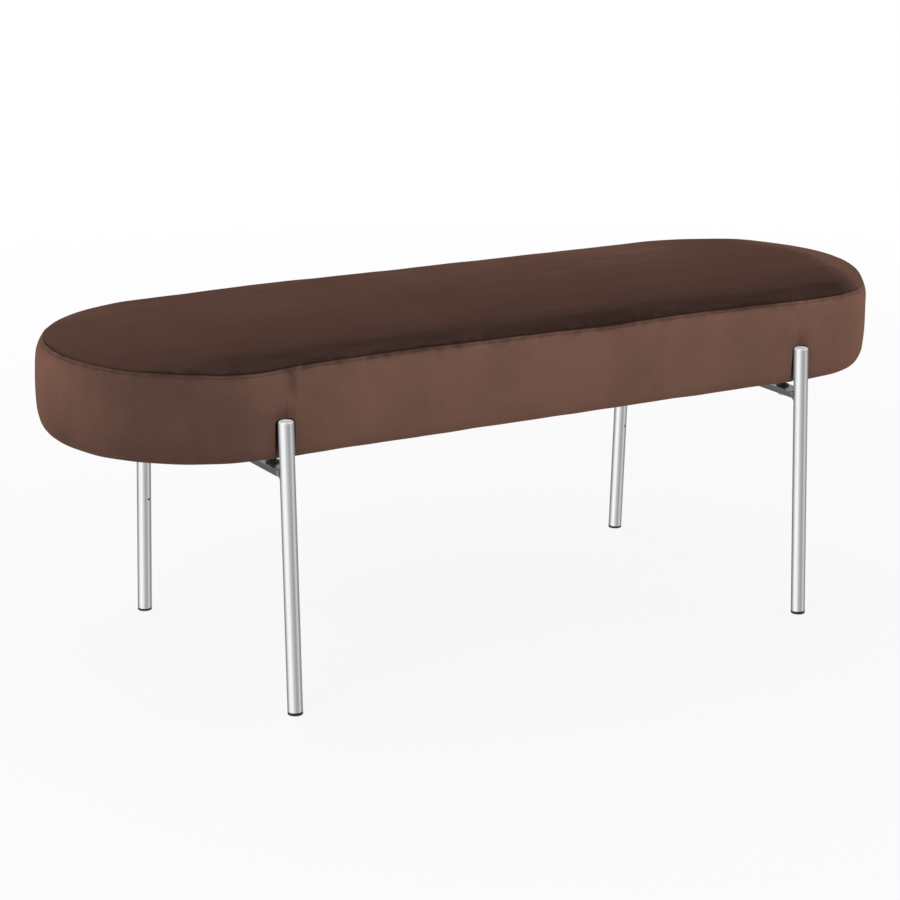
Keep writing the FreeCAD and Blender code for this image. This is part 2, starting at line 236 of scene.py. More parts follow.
def curve_through(at, places, values):
    """Rows read at other places from a smooth curve through rows of values at rising places."""
    slopes = np.gradient(values, places, axis=0)
    near = np.clip(np.searchsorted(places, at, side="right") - 1, 0, len(places) - 2)
    gap = (places[near + 1] - places[near])[:, None]
    share = (at - places[near])[:, None] / gap
    low, high = values[near], values[near + 1]
    leave, arrive = slopes[near] * gap, slopes[near + 1] * gap
    bend = 3 * (high - low) - 2 * leave - arrive
    return low + share * leave + share ** 2 * bend + share ** 3 * (2 * (low - high) + leave + arrive)


def graded(start, stop, coarse, spots=()):
    """Places from start to stop, coarse apart, and finer round each (place, step, reach)."""
    walk = np.linspace(start, stop, spacing_samples)
    density = np.full_like(walk, 1 / coarse)
    for place, step, reach in spots:
        density = np.maximum(density, np.exp(-((walk - place) / reach) ** 4) / step)
    steps = (density[1:] + density[:-1]) / 2 * np.diff(walk)
    total = np.concatenate(([0], np.cumsum(steps)))
    count = max(1, math.ceil(total[-1]))
    return np.interp(np.linspace(0, total[-1], count + 1), total, walk)


def place_object(name, data):
    """A new object, linked into the scene."""
    obj = bpy.data.objects.new(name, data)
    bpy.context.scene.collection.objects.link(obj)
    return obj


# Outline and section of the seat

class Outline:
    """Columns round the seat, counter-clockwise from the middle of the front."""

    def __init__(self, coarse, fine):
        corner = end_centre + half_width * math.pi / 4
        tip = end_centre + half_width * math.pi / 2
        spots = [(leg_x, fine, column_reach)]
        stops = (0, band_seam, corner, tip)
        parts = [graded(a, b, coarse, spots) for a, b in zip(stops, stops[1:])]
        place = np.concatenate([parts[0], parts[1][1:], parts[2][1:]])
        self.seam = len(parts[0]) - 1
        self.corner = self.seam + len(parts[1]) - 1
        self.quarter = len(place) - 1
        self.count = 4 * self.quarter
        angle = np.maximum(0, place - end_centre) / half_width
        self.place = self.mirrored(place, 2 * tip - place, 2 * tip + place, 4 * tip - place)
        spine = np.minimum(place, end_centre)
        self.spine = self.mirrored(spine, spine, -spine, -spine)
        x, y = np.sin(angle), np.cos(angle)
        self.out = np.stack([self.mirrored(x, x, -x, -x), self.mirrored(-y, y, y, -y)], axis=1)

    @staticmethod
    def mirrored(first, second, third, fourth):
        """One loop from a quarter's values as each of the four quarters holds them."""
        return np.concatenate([first[:-1], second[:0:-1], third[:-1], fourth[:0:-1]])


def arc(start, heading, end):
    """Points of the arc that leaves start along heading for end, and its last heading."""
    chord = math.atan2(end[1] - start[1], end[0] - start[0])
    half_turn = chord - heading
    reach = math.dist(start, end)
    radius = reach / (2 * math.sin(half_turn))
    centre = (start[0] - radius * math.sin(heading), start[1] + radius * math.cos(heading))
    turn = heading + np.linspace(0, 2 * half_turn, math.ceil(reach / section_step) + 1)
    points = np.stack([centre[0] + radius * np.sin(turn), centre[1] - radius * np.cos(turn)], axis=1)
    return points, heading + 2 * half_turn


def section():
    """Half section from the crown round to the return underneath, as distances out and heights."""
    crown = (0.0, seat_top)
    shoulder = (half_width - crown_setback, seat_top - crown_drop)
    roll = (half_width - roll_setback, seat_top - roll_drop)
    seam = (half_width - seam_setback, seam_z)
    side_top = (half_width - side_bulge, seat_top - side_top_drop)
    side_foot = (half_width - side_bulge, underside + side_foot_height)
    over_top, heading = arc(crown, crown_heading, shoulder)
    over_shoulder, heading = arc(shoulder, heading, roll)
    over_roll, _ = arc(roll, heading, seam)
    lean = 2 * math.atan2(2 * side_bulge, side_top[1] - side_foot[1])
    below_seam, _ = arc(side_top, math.pi / 2 + lean, seam)
    side, heading = arc(side_top, lean - math.pi / 2, side_foot)
    edge_radius = side_foot_height / (1 - math.sin(lean))
    under = (side_foot[0] - edge_radius * math.cos(lean), underside)
    under_edge, _ = arc(side_foot, heading, under)
    flat_out = np.arange(under[0] - section_step, half_width - return_setback, -section_step)
    flat = np.stack([flat_out, np.full_like(flat_out, underside)], axis=1)
    return np.concatenate([over_top, over_shoulder[1:], over_roll[1:], below_seam[-2::-1],
                           side[1:], under_edge[1:], flat])


# Places along the section are distances down from the seam
SECTION = section()
WALK = distances(SECTION)
WALK = WALK - np.interp(-seam_z, -SECTION[:, 1], WALK)
CROWN = SECTION[WALK < 0]
core_walk = np.interp(half_width - core_setback, CROWN[:, 0], WALK[WALK < 0])
leg_top_walk = np.interp(-leg_top, -SECTION[:, 1], WALK)
foot_walk = WALK[-1] - return_setback + side_foot_height


def at_walk(walk):
    """Distance out, height, and direction out of the surface at places along the section."""
    at, ahead, behind = [[np.interp(walk + step, WALK, line) for line in SECTION.T]
                         for step in (0, 4 * section_step, -4 * section_step)]
    run_out, rise = ahead[0] - behind[0], ahead[1] - behind[1]
    size = np.hypot(run_out, rise)
    return at[0], at[1], -rise / size, run_out / size


class Rows:
    """Rows of a grid round the seat, from the core of the top outward and down.
    Each value is an array of rows, or of rows by columns."""

    def __init__(self, out, height, normal_out, normal_up, below):
        columns = [np.atleast_2d(part.T).T for part in (out, height, normal_out, normal_up, below)]
        self.out, self.height, self.normal_out, self.normal_up, self.below = columns

    @classmethod
    def of_cover(cls, walk, slide):
        """Rows of the cover, with its seam slid up the section by an amount for each column."""
        walk = walk[:, None]
        return cls(*at_walk(walk - slide[None] * bell(walk / seam_slide_reach)), walk)

    @classmethod
    def of_filling(cls, walk):
        """The cover's rows drawn in, then up beside the board and in over it."""
        out, height, normal_out, normal_up = at_walk(walk)
        out = out - normal_out * filling_inset
        height = height - normal_up * filling_inset
        edge, over = board_high.y + filling_board_gap, board_high.z + filling_board_gap
        kept = (walk < leg_top_walk) | (out > edge)
        ends = ([edge, edge, half_width - core_setback], [height[kept][-1], over, over],
                [0] * 3, [0] * 3, [walk[kept][-1]] * 3)
        parts = (out, height, normal_out, normal_up, walk)
        return cls(*[np.append(part[kept], end) for part, end in zip(parts, ends)])


class Cover:
    """A skin of the seat as one grid: rings from the core of the top to the underside,
    and a patch of rows and columns across the core."""

    def __init__(self, outline, rows, core_drop=0.0):
        self.outline = outline
        self.rows, self.columns = len(rows.out), outline.count
        self.walk = rows.below[:, 0]
        ring, normal = np.empty((2, self.rows, self.columns, 3))
        ring[:, :, :2] = rows.out[:, :, None] * outline.out
        ring[:, :, 0] += outline.spine
        ring[:, :, 2] = rows.height
        normal[:, :, :2] = rows.normal_out[:, :, None] * outline.out
        normal[:, :, 2] = rows.normal_up
        self.make_core_index()
        inner = self.core_points(ring[0], core_drop)[1:-1, 1:-1].reshape(-1, 3)
        self.points = np.concatenate([ring.reshape(-1, 3), inner])
        self.normals = np.concatenate([normal.reshape(-1, 3), np.tile((0, 0, 1), (len(inner), 1))])
        self.place = np.concatenate([np.tile(outline.place, self.rows), np.zeros(len(inner))])
        self.below = np.concatenate([np.repeat(self.walk, self.columns), np.full(len(inner), self.walk[0])])

    def make_core_index(self):
        """Numbers of the core's points, whose rim is the first ring."""
        o = self.outline
        quarter, corner = o.quarter, o.corner
        front = np.arange(-corner, corner + 1) % o.count
        right = np.arange(corner, 2 * quarter - corner + 1)
        back = np.arange(2 * quarter + corner, 2 * quarter - corner - 1, -1)
        left = np.arange(4 * quarter - corner, 2 * quarter + corner - 1, -1)
        index = np.empty((len(right), len(front)), int)
        index[0], index[-1], index[:, 0], index[:, -1] = front, back, left, right
        inner = (len(right) - 2, len(front) - 2)
        index[1:-1, 1:-1] = self.rows * self.columns + np.arange(inner[0] * inner[1]).reshape(inner)
        self.core_index = index

    def core_points(self, rim, drop):
        """The core's points, spread evenly between the four sides of its rim."""
        index = self.core_index
        front, back, left, right = rim[index[0]], rim[index[-1]], rim[index[:, 0]], rim[index[:, -1]]
        across, away = distances(front), distances(right)
        self.core_u, self.core_v = across / across[-1], away / away[-1]
        u, v = self.core_u[None, :, None], self.core_v[:, None, None]
        between_sides = (1 - v) * front[None] + v * back[None] + (1 - u) * left[:, None] + u * right[:, None]
        corners = ((1 - u) * (1 - v) * front[0] + u * (1 - v) * front[-1]
                   + (1 - u) * v * back[0] + u * v * back[-1])
        core = between_sides - corners
        reach = np.hypot(np.maximum(np.abs(core[:, :, 0]) - end_centre, 0), core[:, :, 1])
        core[:, :, 2] = np.interp(reach, CROWN[:, 0], CROWN[:, 1]) - drop
        return core

    def core_faces(self):
        i = self.core_index
        return np.stack([i[:-1, :-1], i[:-1, 1:], i[1:, 1:], i[1:, :-1]], axis=-1).reshape(-1, 4)

    def ring_faces(self, first_row=0, last_row=-1, first_column=0, columns=None):
        """Faces between two rows, over a number of columns from the first, or over all of them."""
        row = np.arange(first_row, last_row % self.rows)[:, None]
        here = (first_column + np.arange(columns or self.columns)) % self.columns
        after = (here + 1) % self.columns
        near, far = row * self.columns, (row + 1) * self.columns
        return np.stack([near + here, far + here, far + after, near + after], axis=-1).reshape(-1, 4)


# Cloth simulation of the cover

def cloth_hold(cover, seam_width):
    """How firmly the seams, the legs and the return hold each point of the cloth."""
    x, _, z = cover.points.T
    below = cover.below
    at_seam = bell(below / seam_width)
    at_side_seam = bell((np.abs(x) - band_seam) / seam_width) * (below > 0)
    under_leg = smooth(2 - np.abs(np.abs(x) - leg_x) / leg_hold_reach)
    at_leg = under_leg * smooth((leg_top + 2 * leg_hold_rise - z) / leg_hold_rise) * (below > 0)
    at_return = smooth((below - foot_walk) / seam_width)
    return np.max([at_seam, at_side_seam, at_leg, at_return], axis=0)


def settle(points, faces, hold):
    """Where points come to rest as cloth that swells over its filling."""
    scene = bpy.context.scene
    mesh = bpy.data.meshes.new("cloth")
    mesh.from_pydata(points.tolist(), [], faces.tolist())
    obj = place_object("cloth", mesh)
    group = obj.vertex_groups.new(name="held")
    for number, weight in enumerate(hold.tolist()):
        group.add([number], weight, "REPLACE")
    cloth = obj.modifiers.new("cloth", "CLOTH")
    cloth.point_cache.frame_start, cloth.point_cache.frame_end = 1, cloth_frames
    cloth.settings.vertex_group_mass = "held"
    cloth.settings.use_pressure = True
    cloth.settings.uniform_pressure_force = cloth_pressure
    cloth.settings.shrink_min = cloth_tight_share
    cloth.settings.effector_weights.gravity = 0
    for number in range(cloth_frames):
        scene.frame_set(number + 1)
    settled = obj.evaluated_get(bpy.context.evaluated_depsgraph_get()).to_mesh()
    rest = np.empty(3 * len(points))
    settled.vertices.foreach_get("co", rest)
    bpy.data.objects.remove(obj)
    bpy.data.meshes.remove(mesh)
    scene.frame_set(1)
    return rest.reshape(-1, 3)


def cloth_swell(cover):
    """How far out each point of a fine cover lies once its cloth has settled, from a coarser one."""
    outline = Outline(cloth_step, cloth_step)
    walk = np.concatenate([graded(core_walk, 0, cloth_step), graded(0, WALK[-1], cloth_step)[1:]])
    cloth = Cover(outline, Rows.of_cover(walk, np.zeros(outline.count)))
    x, y, z = cloth.points.T
    uneven = 1 + foam_uneven_share * blotches(x, y + z, foam_lengths, 21)
    hold = np.maximum(cloth_hold(cloth, cloth_step), foam_hold * uneven)
    inset = cloth_inset * (1 - cloth_hold(cloth, cloth_inset_reach))
    faces = np.concatenate([cloth.core_faces(), cloth.ring_faces()])
    rest = settle(cloth.points - cloth.normals * inset[:, None], faces, hold)
    out = np.sum((rest - cloth.points) * cloth.normals, axis=1)
    out = cloth_cap * np.tanh(out / cloth_cap)
    ring = out[:cloth.rows * cloth.columns].reshape(cloth.rows, cloth.columns)
    ring = np.pad(ring, ((0, 0), (cloth_lap, cloth_lap)), "wrap")
    places = outline.place
    lap = np.concatenate([places[-cloth_lap:] - seat_loop, places, places[:cloth_lap] + seat_loop])
    ring = curve_through(cover.outline.place, lap, ring.T).T
    ring = curve_through(cover.walk, cloth.walk, ring)
    core = curve_through(cover.core_u, cloth.core_u, out[cloth.core_index].T).T
    core = curve_through(cover.core_v, cloth.core_v, core)
    return np.concatenate([ring.reshape(-1), core[1:-1, 1:-1].reshape(-1)])


# Shaping the cover

def leg_axis(height):
    """Distance of a leg's axis from the middle plane at a height."""
    low, high = -tube_low.y - leg_radius, leg_radius - tube_high.y
    return low + (high - low) * (height - tube_low.z) / (tube_high.z - tube_low.z)


def seam_slide(place):
    """How far the top seam lies above its line at places round the seat."""
    slide = seam_wander * waves(place, swell_lengths, 12)
    at_ends = [(end * (end_centre + math.radians(turn) * half_width), rise, reach)
               for end, turn, rise, reach in SEAM_BUMPS]
    for spot, rise, reach in at_ends + FRONT_BUMPS:
        way_round = (place - spot + seat_loop / 2) % seat_loop - seat_loop / 2
        slide += rise * bell(way_round / reach)
    return slide


def shape_seat(cover, swell=0.0, extra=0.0):
    """Swells the cloth, draws in the sides and presses the legs' hollows in, extra deeper."""
    place, below = cover.place, cover.below
    x, y, z = cover.points.T
    lap = np.abs(x)
    side = smooth(below / side_blend + 0.5)
    middle = np.where(lap < end_centre, np.cos(math.pi / 2 * lap / end_centre) ** 2, 0)
    step = np.sign(band_seam - lap) * seam_step * np.exp(-np.abs(lap - band_seam) / seam_step_reach)
    at_tip = smooth((-x - end_centre) / half_width) * smooth((z - underside) / left_end_height)
    at_left, at_right = [smooth(2 * (end * x - end_centre) / half_width) for end in (-1, 1)]
    high = bell((below - top_fullness_drop) / top_fullness_reach)
    low = bell((below - foot_walk) / foot_reach)
    outward = step - waist_depth * middle + left_end_fullness * at_tip
    outward += (left_top_fullness * at_left + right_top_fullness * at_right) * high
    outward += (foot_fullness + middle_foot_fullness * middle) * low
    outward += (left_foot_fullness * at_left + right_foot_fullness * at_right) * low
    on_top = top_swell * blotches(x, y, swell_lengths, 3)
    for swell_x, swell_y, height, reach in TOP_SWELLS:
        on_top += height * bell((x - swell_x) / reach) * bell(2 * (y - swell_y) / reach)
    outward += band_swell * waves(place + swell_slant * z, swell_lengths, 4)
    puckers = waves(place, pucker_lengths, 5) * bell(below / pucker_reach)
    gathers = waves(place + gather_slant * z, pucker_lengths[1:], 6) * (below > 0)
    gathers *= bell((lap - band_seam) / gather_reach) * bell((below - gather_drop) / gather_drop_reach)
    along = swell + outward * side + on_top * (1 - side) + pucker_height * (puckers + gathers)
    return press_legs(cover.points + cover.normals * along[:, None], extra)


def press_legs(points, extra):
    """Moves the cloth in y, in behind each leg. Gives the points and how deep each lies, 0 to 1."""
    x, y, z = points.T
    u = np.abs(np.abs(x) - leg_x)
    axis = leg_axis(z)
    deep = np.abs(y) - axis
    widening = hollow_foot_share + (1 - hollow_foot_share) * smooth((z - underside) / hollow_foot)
    half, high = leg_radius + hollow_side_gap * widening, leg_top + hollow_top_gap
    over_u, over_z = u - (half - hollow_corner), z - (high - hollow_corner)
    outside = np.hypot(np.maximum(over_u, 0), np.maximum(over_z, 0))
    apart = outside + np.minimum(np.maximum(over_u, over_z), 0) - hollow_corner - extra
    above = dimple_side_share + (1 - dimple_side_share) * smooth((z - leg_top) / dimple_rise + 0.5)
    dimple = dimple_depth * above * bell(np.maximum(apart, 0) / dimple_reach)
    rest = np.clip(hollow_lip_round - apart, 0, hollow_lip_round)
    lip = hollow_lip_round - np.sqrt(hollow_lip_round ** 2 - rest ** 2)
    wall = np.maximum(-apart, 0) * hollow_wall_slope
    deepest = -(leg_radius + hollow_back_gap + extra)
    pressed = np.minimum(deep, np.maximum(deep - dimple - lip - wall, deepest))
    near = (u < hollow_reach) & (np.abs(deep) < hollow_reach)
    moved = points.copy()
    moved[:, 1] = np.where(near, np.sign(y) * (axis + pressed), y)
    hollow = np.where(near, np.clip((deep - dimple - pressed) / leg_radius, 0, 1), 0)
    return moved, hollow


def sew_seams(cover, points):
    """Draws the cloth in along the top seam, its row of stitches and the four side seams."""
    x, below = points[:, 0], cover.below
    sewn = seam_depth * bell(below / seam_reach)
    sewn += topstitch_depth * bell((below - topstitch_drop) / topstitch_reach)
    on_band = smooth(below / side_seam_start) * np.where(x > 0, side_seam_right_share, 1)
    sewn += side_seam_depth * bell((np.abs(x) - band_seam) / side_seam_reach) * on_band
    return points - cover.normals * sewn[:, None]


# Materials

def colour_of(code):
    """Linear colour of a six-digit sRGB code."""
    parts = [int(code[i:i + 2], 16) / 255 for i in (0, 2, 4)]
    return [part / 12.92 if part <= 0.04045 else ((part + 0.055) / 1.055) ** 2.4 for part in parts] + [1]


def feed(tree, socket, value):
    if isinstance(value, bpy.types.NodeSocket):
        tree.links.new(value, socket)
    else:
        socket.default_value = value


def add_node(tree, kind, inputs=(), **settings):
    """A new node with its settings, and its inputs as values or as links."""
    node = tree.nodes.new(kind)
    for key, value in settings.items():
        setattr(node, key, value)
    for key, value in dict(inputs).items():
        feed(tree, node.inputs[key], value)
    return node


def shown_rays(tree):
    """1 for rays from the camera or by way of metal or glass, and 0 for the rays that light."""
    rays = add_node(tree, "ShaderNodeLightPath").outputs
    shown = rays["Is Camera Ray"]
    for kind in ("Is Glossy Ray", "Is Transmission Ray"):
        shown = add_node(tree, "ShaderNodeMath", {0: shown, 1: rays[kind]}, use_clamp=True).outputs[0]
    return shown


class Finish:
    """A material and short ways to add nodes to it."""

    def __init__(self, name, **inputs):
        self.material = bpy.data.materials.new(name)
        self.material.use_nodes = True
        self.tree = self.material.node_tree
        self.shader = self.tree.nodes["Principled BSDF"]
        self.place = self.add("ShaderNodeTexCoord").outputs["Object"]
        self.set(**inputs)

    def set(self, **inputs):
        """Sets the shader's own sockets; a value stays unlinked there."""
        for key, value in inputs.items():
            feed(self.tree, self.shader.inputs[key.replace("_", " ")], value)

    def add(self, kind, inputs=(), **settings):
        return add_node(self.tree, kind, inputs, **settings)

    def blend(self, share, below, above):
        """Shows a surface over another by a share, in place of the material's own shader."""
        mixed = self.add("ShaderNodeMixShader", {0: share, 1: below, 2: above}).outputs[0]
        self.tree.links.new(mixed, self.tree.nodes["Material Output"].inputs["Surface"])

    def glow(self, strength):
        return self.add("ShaderNodeEmission", {"Color": WHITE, "Strength": strength}).outputs[0]

    def maths(self, operation, a, b=0.0, clamp=False):
        node = self.add("ShaderNodeMath", {0: a, 1: b}, operation=operation, use_clamp=clamp)
        return node.outputs[0]

    def plus(self, whole, *parts):
        for part in parts:
            whole = self.maths("ADD", whole, part)
        return whole

    def times(self, whole, *parts):
        for part in parts:
            whole = self.maths("MULTIPLY", whole, part)
        return whole

    def minus(self, a, b):
        return self.maths("SUBTRACT", a, b)

    def clamped(self, a, b=0.0):
        """The sum of two values, kept from 0 to 1."""
        return self.maths("ADD", a, b, clamp=True)

    def axis(self, name):
        return self.add("ShaderNodeSeparateXYZ", {0: self.place}).outputs[name]

    def field(self, name):
        """A value that the mesh carries at each of its points."""
        return self.add("ShaderNodeAttribute", attribute_name=name).outputs["Fac"]

    def bell(self, value, middle, reach):
        """1 at the middle, and falling away on both sides over the reach."""
        off = self.maths("DIVIDE", self.minus(value, middle), reach)
        return self.maths("EXPONENT", self.times(off, off, -1.0))

    def noise(self, scale, detail=2.0, stretch=(1, 1, 1), distortion=0.0):
        """Noise from 0 to 1; a larger stretch makes it finer along that axis."""
        mapped = self.add("ShaderNodeMapping", {"Vector": self.place, "Scale": stretch}).outputs[0]
        inputs = {"Vector": mapped, "Scale": scale, "Detail": detail, "Distortion": distortion}
        return self.add("ShaderNodeTexNoise", inputs).outputs[0]

    def bands(self, scale, distortion, direction):
        inputs = {"Vector": self.place, "Scale": scale, "Distortion": distortion}
        return self.add("ShaderNodeTexWave", inputs, bands_direction=direction).outputs[1]

    def ripple(self, value, strength):
        """A noise's distance from its middle, times a strength."""
        return self.times(self.minus(value, 0.5), strength)

    def span(self, value, low, high, to_low=0.0, to_high=1.0):
        inputs = {"Value": value, "From Min": low, "From Max": high, "To Min": to_low, "To Max": to_high}
        return self.add("ShaderNodeMapRange", inputs).outputs[0]

    def ramp(self, value, stops):
        """Colours along a value: stops are (position, six-digit code) or (position, grey)."""
        node = self.add("ShaderNodeValToRGB", {0: value})
        elements = node.color_ramp.elements
        while len(elements) < len(stops):
            elements.new(0.5)
        for element, (position, colour) in zip(elements, stops):
            element.position = position
            element.color = colour_of(colour) if isinstance(colour, str) else (colour, colour, colour, 1)
        return node.outputs[0]

    def mix(self, factor, a, b):
        return self.add("ShaderNodeMix", {0: factor, 6: a, 7: b}, data_type="RGBA").outputs[2]

    def bump(self, height, distance, after=None):
        inputs = {"Height": height, "Distance": distance, "Strength": 1.0}
        if after is not None:
            inputs["Normal"] = after
        return self.add("ShaderNodeBump", inputs).outputs[0]


# Colours of the velvet from dark to light; the top's stops are darker, painted shade on the same velvet as
# the band
SHADED_TOP_STOPS = [(0.0, "2f221e"), (0.25, "46342e"), (0.5, "513b34"), (0.75, "5a423a"), (1.0, "6a4f45")]
BAND_STOPS = [(0.0, "4a3730"), (0.25, "574139"), (0.5, "684d43"), (0.75, "76564b"), (1.0, "846252")]
# Colours of painted shade in the seam's crease and deep in the legs' hollows, and the tint of the velvet's
# sheen
SEAM_SHADE, HOLLOW_SHADE, SHEEN_TINT = "35261f", "120b09", "b8806c"

# Stretch of the pile's noises: even, and as brush strokes on the top and on the band
EVEN, ALONG, DOWN = (1, 1, 1), (1, 6, 6), (1.7, 1.7, 1)

# Lines of painted shade along the seam and the stitches, and a line of painted highlight along the foot:
# distance below the top seam, reach and strength
foot_highlight_rise = 3 * MM
SEAM_LINES = [(0.0, 1.1 * MM, -0.40), (0.6 * topstitch_drop, 4.2 * MM, -0.32)]
EDGE_LINES = [(topstitch_drop, 0.8 * MM, -0.26), (foot_walk - foot_highlight_rise, 2.5 * MM, 0.16)]
# Reach and share of the painted shade in the seam's crease
seam_shade_reach, seam_shade_share = 2.4 * MM, 0.7
smudge_reach = 8 * MM

# Painted shade in the dimple above each leg, a darker spot by the left seam, and painted shade at the left
# end's foot
dimple_shade_rise, dimple_shade_height, dimple_shade_width = 4 * MM, 12 * MM, 14 * MM
spot_out, spot_width, spot_drop, spot_height = 9 * MM, 7 * MM, 18 * MM, 22 * MM
foot_shade_height = 106 * MM

# Depths of the bumps in the other finishes
chrome_grain, steel_grain, rubber_grain, glide_grain = 0.01 * MM, 0.03 * MM, 0.06 * MM, 0.04 * MM
weld_ripple, plywood_grain, thread_twist = 0.25 * MM, 0.2 * MM, 0.1 * MM
wadding_pit, dust_cloth_pit = 0.8 * MM, 0.12 * MM

# Unevenness of the pile: noise scale, detail, 1 where brushed, distortion and strength
PILE_NOISES = [(4.5, 3.0, 1, 0.3, 0.24), (14.0, 3.0, 1, 0.2, 0.14), (9.0, 3.0, 0, 0.5, 0.26),
               (45.0, 3.0, 0, 0.0, 0.14), (650.0, 2.0, 0, 0.0, 0.26)]
tuft_height, stroke_height = 0.16 * MM, 0.3 * MM


def velvet(name, nap_and_shade, stops, sheen, brush, seam, rub):
    """Short-pile velvet: nap_and_shade gives the pile's tone from 0, dark, to 1, light, with its painted
    shade and sheen, brush the stretch of its strokes, seam how much painted shade darkens the seam, and rub
    how much it is smudged near the seam."""
    finish = Finish(name, Roughness=0.9, Sheen_Weight=sheen, Sheen_Roughness=0.45,
                    Sheen_Tint=colour_of(SHEEN_TINT), Specular_IOR_Level=0.0)
    below = finish.field("below")
    lines, edges = [[finish.times(finish.bell(below, middle, reach), strength)
                     for middle, reach, strength in table] for table in (SEAM_LINES, EDGE_LINES)]
    uneven = [finish.ripple(finish.noise(scale, detail, brush if brushed else EVEN, distortion), strength)
              for scale, detail, brushed, distortion, strength in PILE_NOISES]
    smudges = finish.ripple(finish.noise(60.0, 4.0, EVEN, 0.4), rub)
    smudges = finish.times(smudges, finish.bell(below, topstitch_drop / 2, smudge_reach))
    tip_near, tip_far = end_centre + 0.4 * half_width, end_centre + 0.8 * half_width
    to_tip = finish.span(finish.axis("X"), tip_near, tip_far, 1.0, 0.25)
    tight = finish.times(finish.span(finish.noise(13.0), 0.35, 0.65, 0.15 * seam, seam), to_tip)
    # The pile's tone, with painted shade and sheen, painted shade lines along the seams and a painted
    # highlight at the foot
    lie = finish.plus(nap_and_shade(finish), smudges, finish.times(finish.plus(*lines), tight), *edges, *uneven)
    # Painted shade in the seam's crease
    seam_shade = finish.times(finish.bell(below, 0.0, seam_shade_reach), tight, seam_shade_share)
    pile = finish.mix(seam_shade, finish.ramp(finish.clamped(lie), stops), colour_of(SEAM_SHADE))
    tufts = finish.bump(finish.noise(1100.0), tuft_height)
    # Painted shade deep in the legs' hollows, by how far the cloth is pressed in
    finish.set(Base_Color=finish.mix(finish.field("hollow"), pile, colour_of(HOLLOW_SHADE)),
               Normal=finish.bump(finish.noise(40.0, 3.0, brush), stroke_height, tufts))
    return finish.material


def top_nap_and_shade(finish):
    """Painted shade and sheen of the pile: dark along the front edge, lighter to the back and the left, and
    a painted sheen on the right rim.
    """
    x, y = finish.axis("X"), finish.axis("Y")
    back = finish.span(y, -half_width, half_width)
    left = finish.span(x, -end_centre, -half_width - end_centre, 0.0, 0.04)
    past = finish.minus(x, end_centre)
    reach = finish.maths("SQRT", finish.plus(finish.times(past, past), finish.times(y, y)))
    turn = finish.maths("ARCTAN2", y, past)
    edge = finish.span(turn, math.radians(-60), math.radians(-34), 0.82 * half_width, 0.62 * half_width)
    # Painted sheen along the right end's rim
    rim = finish.times(finish.span(finish.minus(reach, edge), 0.0, 0.16 * half_width, 0.0, 0.6),
                       finish.span(turn, math.radians(-68), math.radians(-54)),
                       finish.span(turn, math.radians(60), 0.0))
    lie = finish.ramp(back, [(0.0, 0.10), (0.08, 0.17), (0.17, 0.38), (0.22, 0.40), (0.35, 0.54),
                             (0.45, 0.56), (0.62, 0.73), (0.8, 0.79), (1.0, 0.88)])
    lap = finish.span(x, -end_centre - half_width, end_centre + half_width)
    along = finish.ramp(lap, [(0.0, 0.07), (0.18, 0.09), (0.42, 0.05), (0.59, 0.18), (0.73, 0.26),
                              (0.80, 0.18), (0.86, 0.04)])
    far = finish.times(finish.minus(along, 0.15), finish.span(back, 0.45, 0.9))
    return finish.plus(lie, left, rim, far)


def pressed(finish):
    """Painted shade in the dimple above each leg, where the pile is crushed."""
    lap = finish.maths("ABSOLUTE", finish.axis("X"))
    above = finish.bell(finish.axis("Z"), leg_top + dimple_shade_rise, dimple_shade_height)
    return finish.times(finish.bell(lap, leg_x, dimple_shade_width), above, -0.28)


def straight_nap_and_shade(finish):
    """A little darker low down and towards the left, with a darker spot by the left seam and painted shade
    above each leg.
    """
    x, z = finish.axis("X"), finish.axis("Z")
    height = finish.span(z, underside, seam_z, -0.05, 0.03)
    right = finish.ramp(finish.span(x, -band_seam, band_seam),
                        [(0.0, 0.50), (0.11, 0.52), (0.23, 0.48), (0.37, 0.59), (0.53, 0.63), (0.67, 0.64),
                         (0.83, 0.57), (1.0, 0.62)])
    spot = finish.times(finish.bell(x, -band_seam + spot_out, spot_width),
                        finish.bell(z, seam_z - spot_drop, spot_height), -0.25)
    return finish.plus(height, right, pressed(finish), spot)


def left_nap_and_shade(finish):
    """Painted sheen at the end itself, and painted shade where the band turns into it, most of all low down,
    and above each leg.
    """
    z = finish.axis("Z")
    lap = finish.span(finish.axis("X"), -end_centre - half_width, -band_seam)
    low = finish.span(z, seam_z, underside, -0.05, 0.28)
    slanted = finish.minus(lap, finish.times(low, finish.span(lap, 0.3, 1.0)))
    lie = finish.ramp(slanted, [(0.0, 0.81), (0.02, 0.66), (0.06, 0.52), (0.11, 0.38), (0.25, 0.21),
                                (0.45, 0.21), (0.65, 0.31), (0.83, 0.45), (1.0, 0.50)])
    behind = finish.span(finish.axis("Y"), 0.0, 0.25 * half_width, 0.0, 0.14)
    # Painted shade at the left end's foot
    foot = finish.times(finish.span(lap, 0.11, 0.0),
                        finish.span(z, underside + foot_shade_height, underside, 0.0, -0.46))
    return finish.plus(lie, behind, foot, pressed(finish))


def right_nap_and_shade(finish):
    """Painted sheen towards the end, darker low down, and painted shade above each leg."""
    lap = finish.span(finish.axis("X"), band_seam, end_centre + half_width)
    height = finish.span(finish.axis("Z"), underside, seam_z, -0.09, 0.06)
    lie = finish.ramp(lap, [(0.0, 0.60), (0.33, 0.64), (0.52, 0.70), (0.64, 0.74), (1.0, 0.76)])
    return finish.plus(lie, height, pressed(finish))


